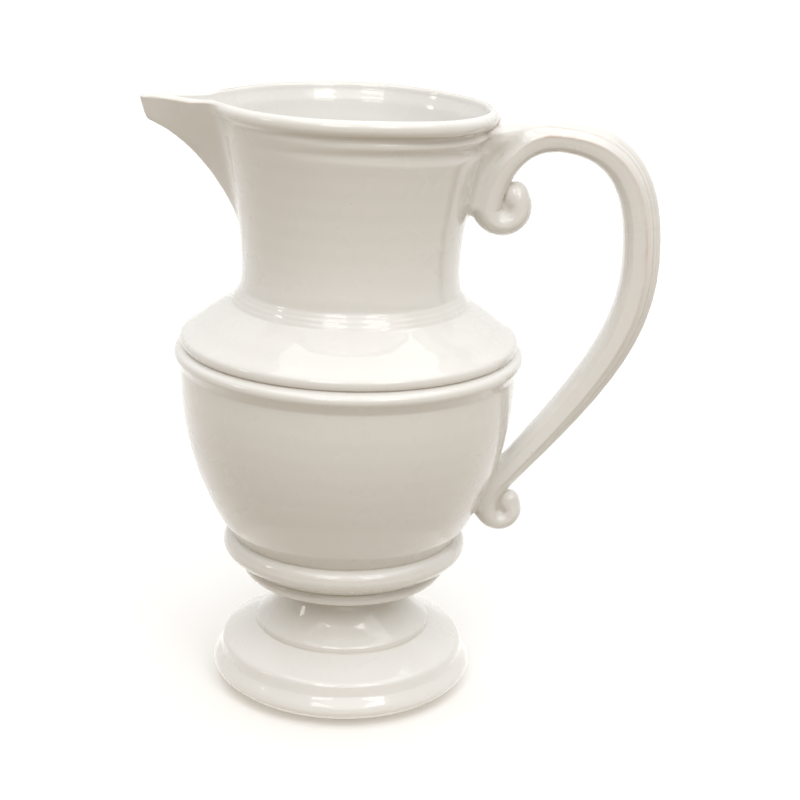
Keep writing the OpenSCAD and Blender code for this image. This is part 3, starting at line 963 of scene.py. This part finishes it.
def glaze_material():
    """Warm white glaze, thin on sharp edges, with painted shade darkening its grooves, and a clear glossy
    coat.
    """
    mat = bpy.data.materials.new("cream_glaze")
    mat.use_nodes = True
    nodes, links = mat.node_tree.nodes, mat.node_tree.links
    bsdf = nodes["Principled BSDF"]

    def node(kind, **values):
        made = nodes.new(kind)
        for key, value in values.items():
            if hasattr(made, key):
                setattr(made, key, value)
            else:
                made.inputs[key.replace("_", " ")].default_value = value
        return made

    def ramp(source, low, high, v0=0.0, v1=1.0):
        made = node("ShaderNodeMapRange", interpolation_type="SMOOTHSTEP")
        for key, value in (("From Min", low), ("From Max", high), ("To Min", v0), ("To Max", v1)):
            made.inputs[key].default_value = value
        links.new(source, made.inputs["Value"])
        return made.outputs["Result"]

    def blend(factor, a, b, kind="MIX"):
        made = node("ShaderNodeMix", data_type="RGBA", blend_type=kind)
        for socket, value in ((made.inputs[0], factor), (made.inputs[6], a), (made.inputs[7], b)):
            if isinstance(value, (tuple, float, int)):
                socket.default_value = value
            else:
                links.new(value, socket)
        return made.outputs[2]

    def times(a, b):
        made = node("ShaderNodeMath", operation="MULTIPLY")
        for socket, value in zip(made.inputs, (a, b)):
            if isinstance(value, (float, int)):
                socket.default_value = value
            else:
                links.new(value, socket)
        return made.outputs[0]

    where = node("ShaderNodeTexCoord").outputs["Object"]

    def noise(scale, detail=3.0, rough=0.5):
        made = node("ShaderNodeTexNoise", Scale=scale, Detail=detail, Roughness=rough)
        links.new(where, made.inputs["Vector"])
        return made.outputs["Fac"]

    thin = node("ShaderNodeAttribute", attribute_name="thin").outputs["Fac"]
    # inward bend: where painted shade darkens grooves and creases
    groove_shade = node("ShaderNodeAttribute", attribute_name="groove_shade").outputs["Fac"]
    broad = noise(9.0)
    cloud = noise(38.0)
    # cream glaze, a little warmer and cooler from place to place
    color = blend(ramp(broad, 0.35, 0.65), CREAM, PALE)
    color = blend(times(ramp(cloud, 0.4, 0.75), 0.3), color, WARM)
    # thin on sharp edges, where the clay shows through pink
    edge = times(ramp(thin, 0.22, 0.75), ramp(noise(55.0), 0.3, 0.6, 0.45, 1.0))
    color = blend(times(edge, 0.5), color, BARE_CLAY)
    # painted shade in grooves and creases: hollow places are darkened towards a brown shade colour
    color = blend(times(ramp(groove_shade, 0.2, 0.9), 0.35), color, PAINTED_GROOVE_SHADE)
    # a few tiny specks
    cells = node("ShaderNodeTexVoronoi", Scale=75.0, Randomness=1.0)
    links.new(where, cells.inputs["Vector"])
    apart = node("ShaderNodeSeparateColor")
    links.new(cells.outputs["Color"], apart.inputs[0])
    few = ramp(apart.outputs[0], 0.9, 0.93)
    speck = times(ramp(cells.outputs["Distance"], 0.02, 0.035, 1.0, 0.0), few)
    color = blend(times(speck, 0.45), color, SPECK)
    links.new(color, bsdf.inputs["Base Color"])
    links.new(ramp(cloud, 0.3, 0.7, 0.24, 0.32), bsdf.inputs["Roughness"])
    bsdf.inputs["IOR"].default_value = 1.5
    bsdf.inputs["Specular IOR Level"].default_value = 0.2
    bsdf.inputs["Coat Weight"].default_value = 0.9
    bsdf.inputs["Coat Roughness"].default_value = 0.025
    bsdf.inputs["Coat IOR"].default_value = 1.5
    # faint waviness of the melted surface
    bump = node("ShaderNodeBump", Strength=0.25, Distance=0.0004)
    links.new(noise(70.0, 2.0), bump.inputs["Height"])
    links.new(bump.outputs["Normal"], bsdf.inputs["Normal"])
    links.new(bump.outputs["Normal"], bsdf.inputs["Coat Normal"])
    return mat


# ---------------------------------------------------------------- room, lights, camera


FLOOR_HALF = 40.0
FLOOR_WHITE = (0.93, 0.93, 0.925)
ROOM_FRONT, ROOM_BACK = (0.225, 0.18, 0.13, 1), (0.97, 0.96, 0.94, 1)
ROOM_BELOW = (0.44, 0.37, 0.275, 1)
MIDDLE = (0, 0, 0.16)
WINDOW_FAR = 2.6
WINDOWS = (("window_left", -17), ("window_right", 32))


def plain_material(name, color, rough):
    """Matt material of one colour."""
    mat = bpy.data.materials.new(name)
    mat.use_nodes = True
    bsdf = mat.node_tree.nodes["Principled BSDF"]
    bsdf.inputs["Base Color"].default_value = (*color, 1)
    bsdf.inputs["Roughness"].default_value = rough
    bsdf.inputs["Specular IOR Level"].default_value = 0.1
    return mat


def floor():
    """White floor, wide enough that its edge stays out of sight from low down."""
    mesh = bpy.data.meshes.new("floor")
    corners = [(FLOOR_HALF * x, FLOOR_HALF * y, 0) for x, y in ((-1, -1), (1, -1), (1, 1), (-1, 1))]
    mesh.from_pydata(corners, [], [(0, 1, 2, 3)])
    obj = bpy.data.objects.new("floor", mesh)
    bpy.context.scene.collection.objects.link(obj)
    obj.data.materials.append(plain_material("floor_white", FLOOR_WHITE, 0.9))
    obj.visible_diffuse = False


def softbox(name, at, width, height, power):
    """White rectangular lamp that faces the middle of the object."""
    lamp = bpy.data.lights.new(name, "AREA")
    lamp.shape = "RECTANGLE"
    lamp.size, lamp.size_y = width, height
    lamp.energy = power
    obj = bpy.data.objects.new(name, lamp)
    obj.location = at
    obj.rotation_euler = (Vector(MIDDLE) - Vector(at)).to_track_quat("-Z", "Y").to_euler()
    bpy.context.scene.collection.objects.link(obj)


def room():
    """World that is white behind the object and a dim warm room in front of it."""
    world = bpy.data.worlds.new("room")
    bpy.context.scene.world = world
    world.use_nodes = True
    nodes, links = world.node_tree.nodes, world.node_tree.links
    apart = nodes.new("ShaderNodeSeparateXYZ")
    links.new(nodes.new("ShaderNodeTexCoord").outputs["Generated"], apart.inputs[0])
    shade = nodes.new("ShaderNodeMapRange")
    shade.interpolation_type = "SMOOTHSTEP"
    shade.inputs["From Min"].default_value = -0.3
    shade.inputs["From Max"].default_value = 0.6
    links.new(apart.outputs["Y"], shade.inputs["Value"])
    blend = nodes.new("ShaderNodeMix")
    blend.data_type = "RGBA"
    blend.inputs[6].default_value = ROOM_FRONT
    blend.inputs[7].default_value = ROOM_BACK
    links.new(shade.outputs["Result"], blend.inputs[0])
    below = nodes.new("ShaderNodeMath")
    below.operation = "LESS_THAN"
    below.inputs[1].default_value = 0.0
    links.new(apart.outputs["Z"], below.inputs[0])
    ground = nodes.new("ShaderNodeMix")
    ground.data_type = "RGBA"
    ground.inputs[7].default_value = ROOM_BELOW
    links.new(below.outputs[0], ground.inputs[0])
    links.new(blend.outputs[2], ground.inputs[6])
    links.new(ground.outputs[2], nodes["Background"].inputs["Color"])


def lights():
    """Broad light from above, two tall windows in front, two fills, and light off the floor."""
    room()
    sky = bpy.data.lights.new("sky", "SUN")
    sky.energy = 2.08
    sky.angle = math.radians(80)
    sky.color = (0.965, 0.985, 1.0)
    over = bpy.data.objects.new("sky", sky)
    over.rotation_euler = (math.radians(17), math.radians(7), 0)
    bpy.context.scene.collection.objects.link(over)
    for name, azimuth in WINDOWS:
        around = math.radians(azimuth)
        for row in range(4):
            up = math.radians(31 + 8 * row)
            level = WINDOW_FAR * math.cos(up)
            at = (
                level * math.sin(around), -level * math.cos(around), MIDDLE[2] + WINDOW_FAR * math.sin(up)
            )
            softbox(f"{name}_{row}", at, 0.8, 0.2, 2.4)
    softbox("side_left", (-2.2, -0.5, 1.3), 0.3, 0.4, 2.5)
    softbox("front_low", (0.25, -1.6, 0.8), 0.9, 0.3, 1.1)
    # the white floor close round the foot, which throws light up under its edge
    glow = bpy.data.lights.new("floor_glow", "AREA")
    glow.shape = "DISK"
    glow.size = 0.24
    glow.energy = 0.045
    around_foot = bpy.data.objects.new("floor_glow", glow)
    around_foot.location = (0, 0, 0.0004)
    around_foot.rotation_euler = (math.pi, 0, 0)
    around_foot.visible_camera = False
    bpy.context.scene.collection.objects.link(around_foot)


# Camera of the photographed view: place in metres, angles in radians, lens and film in mm
CAMERA_AT = (0, -0.8117, 0.4163)
ROLL, YAW, PITCH = -0.0365, 0.0323, 0.3169
LENS, FILM = 76.6, 36


def camera():
    """Camera at the photographed view."""
    cam = bpy.data.cameras.new("camera")
    cam.sensor_width = FILM
    cam.lens = LENS
    obj = bpy.data.objects.new("camera", cam)
    bpy.context.scene.collection.objects.link(obj)
    level = math.cos(PITCH)
    forward = Vector((math.sin(YAW) * level, math.cos(YAW) * level, -math.sin(PITCH)))
    right = Vector((math.cos(YAW), -math.sin(YAW), 0))
    down = forward.cross(right)
    side = math.cos(ROLL) * right + math.sin(ROLL) * down
    fall = -math.sin(ROLL) * right + math.cos(ROLL) * down
    turn = Matrix((side, -fall, -forward)).transposed()
    obj.matrix_world = Matrix.Translation(CAMERA_AT) @ turn.to_4x4()
    bpy.context.scene.camera = obj


PIECES = {}
vessel_pieces()
handle_pieces()
glaze = glaze_material()
for piece in PIECES.values():
    piece.data.materials.append(glaze)
floor()
lights()
camera()
bpy.context.scene.view_settings.view_transform = "Standard"
